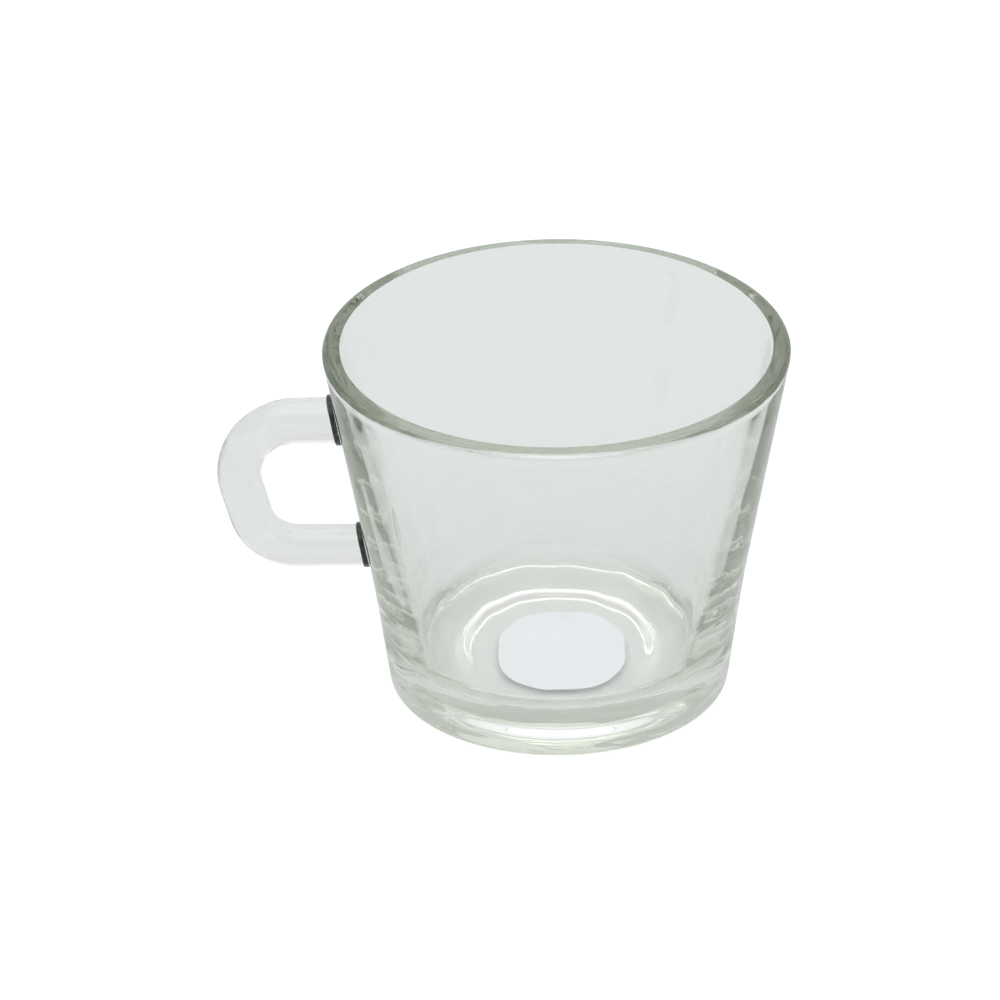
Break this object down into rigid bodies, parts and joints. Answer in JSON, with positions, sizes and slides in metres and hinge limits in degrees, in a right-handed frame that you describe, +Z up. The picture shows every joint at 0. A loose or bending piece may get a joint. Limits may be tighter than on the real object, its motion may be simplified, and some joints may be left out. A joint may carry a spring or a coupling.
{
  "type": "coffee cup",
  "caption": "Clear glass coffee cup with a tapered bowl, a thick base and a bent glass rod welded to its side as a finger loop.",
  "frame": {"origin": "middle of the cup's overall footprint, handle included, at the height of the table", "axes": "+Z up, the handle points along -X, and the camera of the picture looks along +Y"},
  "size_m": [0.1109, 0.09, 0.0728],
  "materials": {
    "clear_glass": "clear, smooth, very slightly wavy",
    "weld_glass": "dark fused seam",
    "label_paper": "matt white paper, blank"
  },
  "bodies": {
    "root": {"bowl": "clear_glass", "handle": "clear_glass", "upper_weld": "weld_glass", "lower_weld": "weld_glass", "base_label": "label_paper"}
  },
  "joints": []
}
